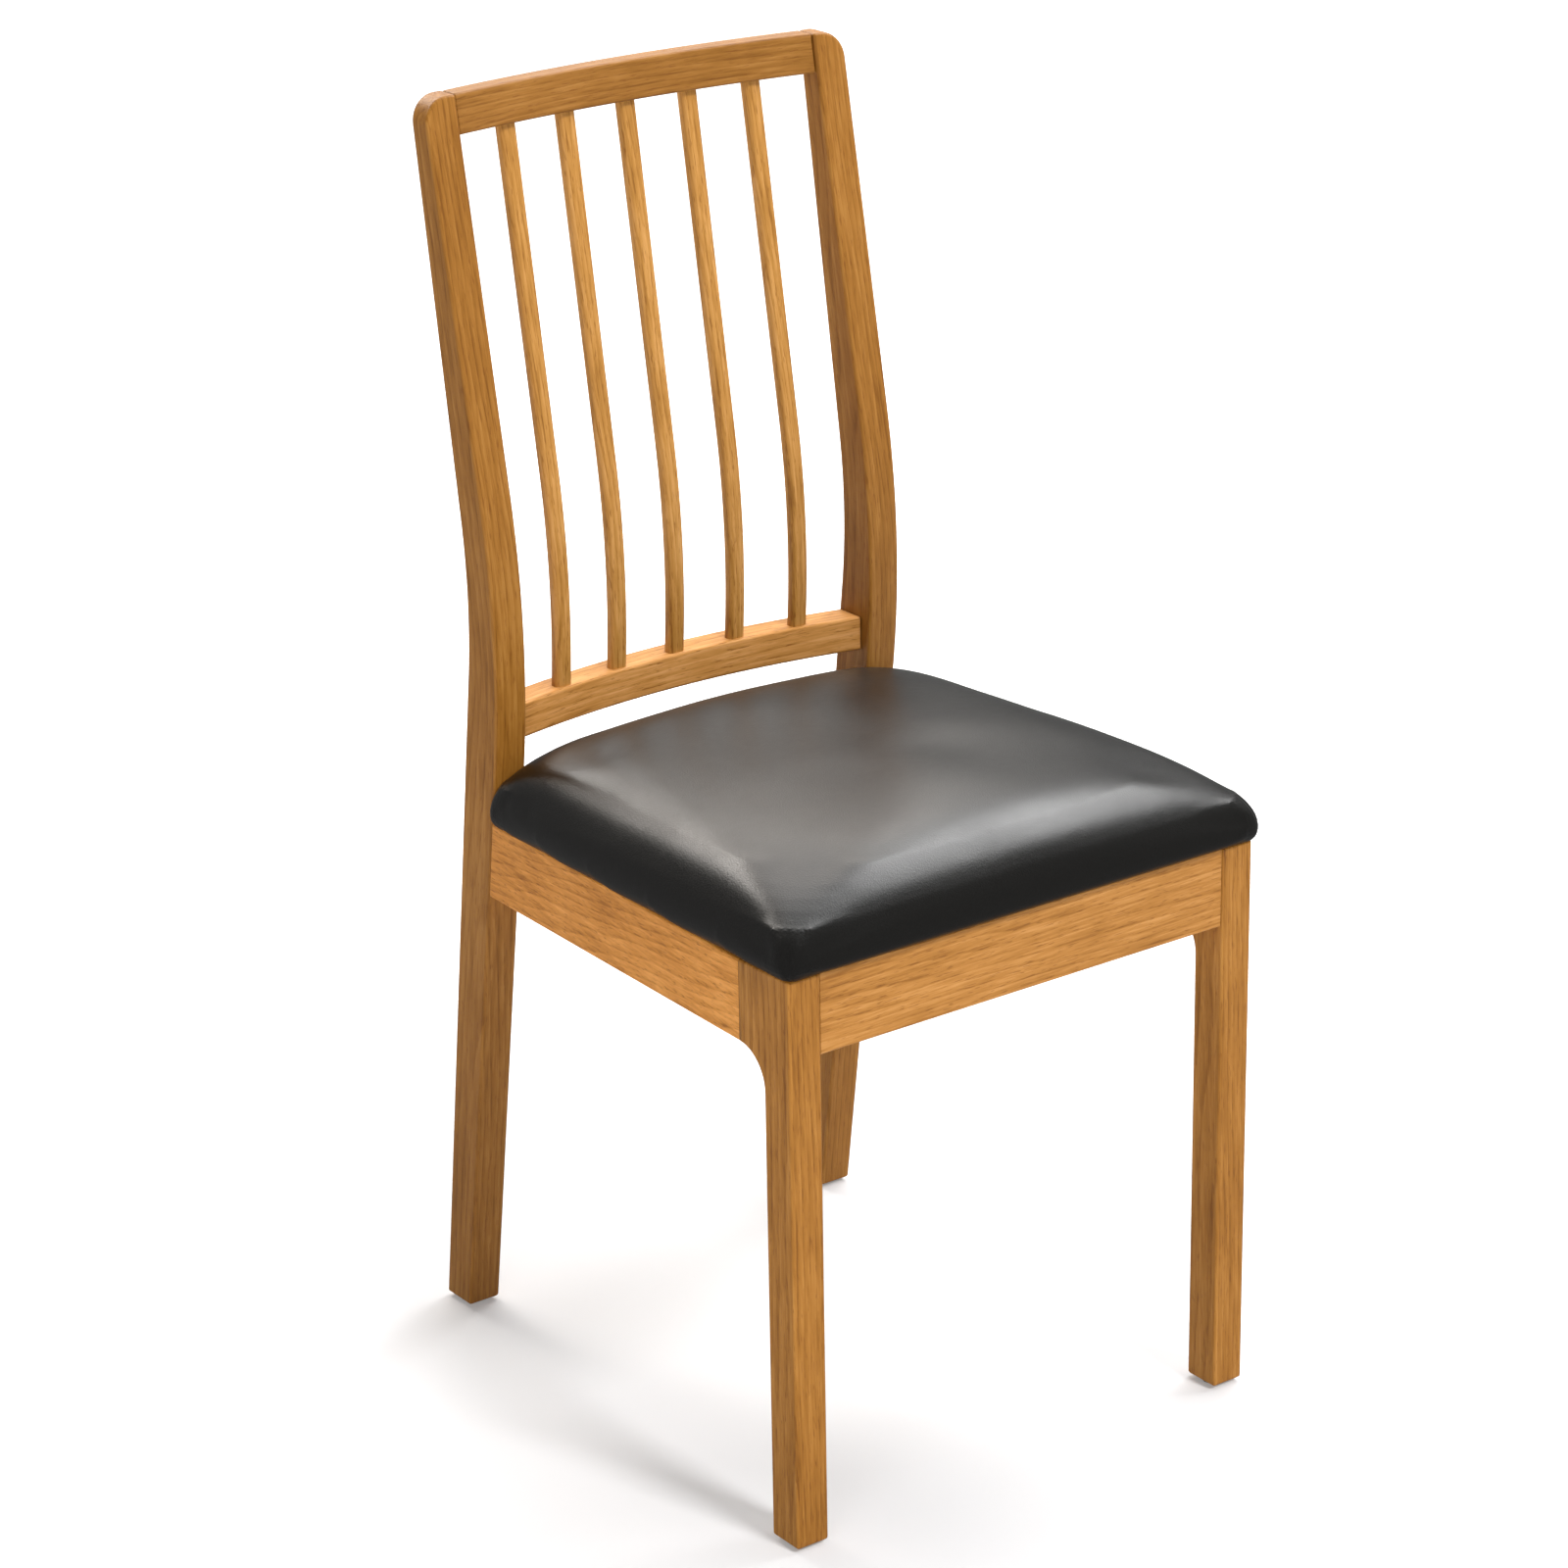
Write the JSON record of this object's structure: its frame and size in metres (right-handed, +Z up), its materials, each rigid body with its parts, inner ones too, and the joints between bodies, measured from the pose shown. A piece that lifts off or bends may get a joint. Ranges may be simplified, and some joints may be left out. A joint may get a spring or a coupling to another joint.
{
  "type": "dining chair",
  "caption": "Dining chair with a curved wooden frame, a back of bent spindles between two rails, and a crowned black upholstered seat pad.",
  "frame": {"origin": "on the floor, under the middle of the whole chair", "axes": "+Z up, the chair's front towards -Y, +X to the right of someone facing the chair"},
  "size_m": [0.4222, 0.4934, 0.95],
  "materials": {
    "oak": "satin honey-brown stain",
    "beech": "raw",
    "plywood": "raw",
    "foam": "open foam",
    "leather": "satin coated",
    "lining": "non-woven cloth",
    "steel": "zinc plated",
    "plastic": "matte"
  },
  "bodies": {
    "root": {"back_post_left": "oak", "back_post_right": "oak", "barrel_nut_left": "steel", "barrel_nut_right": "steel", "corner_block_front_left": "beech", "corner_block_front_right": "beech", "corner_block_rear_left": "beech", "corner_block_rear_right": "beech", "dowel_front_apron_left_lower": "beech", "dowel_front_apron_left_upper": "beech", "dowel_front_apron_right_lower": "beech", "dowel_front_apron_right_upper": "beech", "dowel_lower_rail_left": "beech", "dowel_lower_rail_right": "beech", "dowel_rear_apron_left_lower": "beech", "dowel_rear_apron_left_upper": "beech", "dowel_rear_apron_right_lower": "beech", "dowel_rear_apron_right_upper": "beech", "dowel_side_apron_left_lower": "beech", "dowel_side_apron_left_upper": "beech", "dowel_side_apron_rear_left": "beech", "dowel_side_apron_rear_right": "beech", "dowel_side_apron_right_lower": "beech", "dowel_side_apron_right_upper": "beech", "dowel_top_rail_left": "beech", "dowel_top_rail_right": "beech", "foot_glide_front_left": "plastic", "foot_glide_front_right": "plastic", "foot_glide_rear_left": "plastic", "foot_glide_rear_right": "plastic", "frame_bolt_left": "steel", "frame_bolt_right": "steel", "front_apron": "oak", "front_leg_left": "oak", "front_leg_right": "oak", "lower_back_rail": "oak", "rear_apron": "oak", "seat_board": "plywood", "seat_cover": "leather", "seat_foam": "foam", "seat_lining": "lining", "seat_screw_front_left": "steel", "seat_screw_front_right": "steel", "seat_screw_rear_left": "steel", "seat_screw_rear_right": "steel", "side_apron_left": "oak", "side_apron_right": "oak", "spindle_1": "oak", "spindle_2": "oak", "spindle_3": "oak", "spindle_4": "oak", "spindle_5": "oak", "top_rail": "oak"}
  },
  "joints": []
}
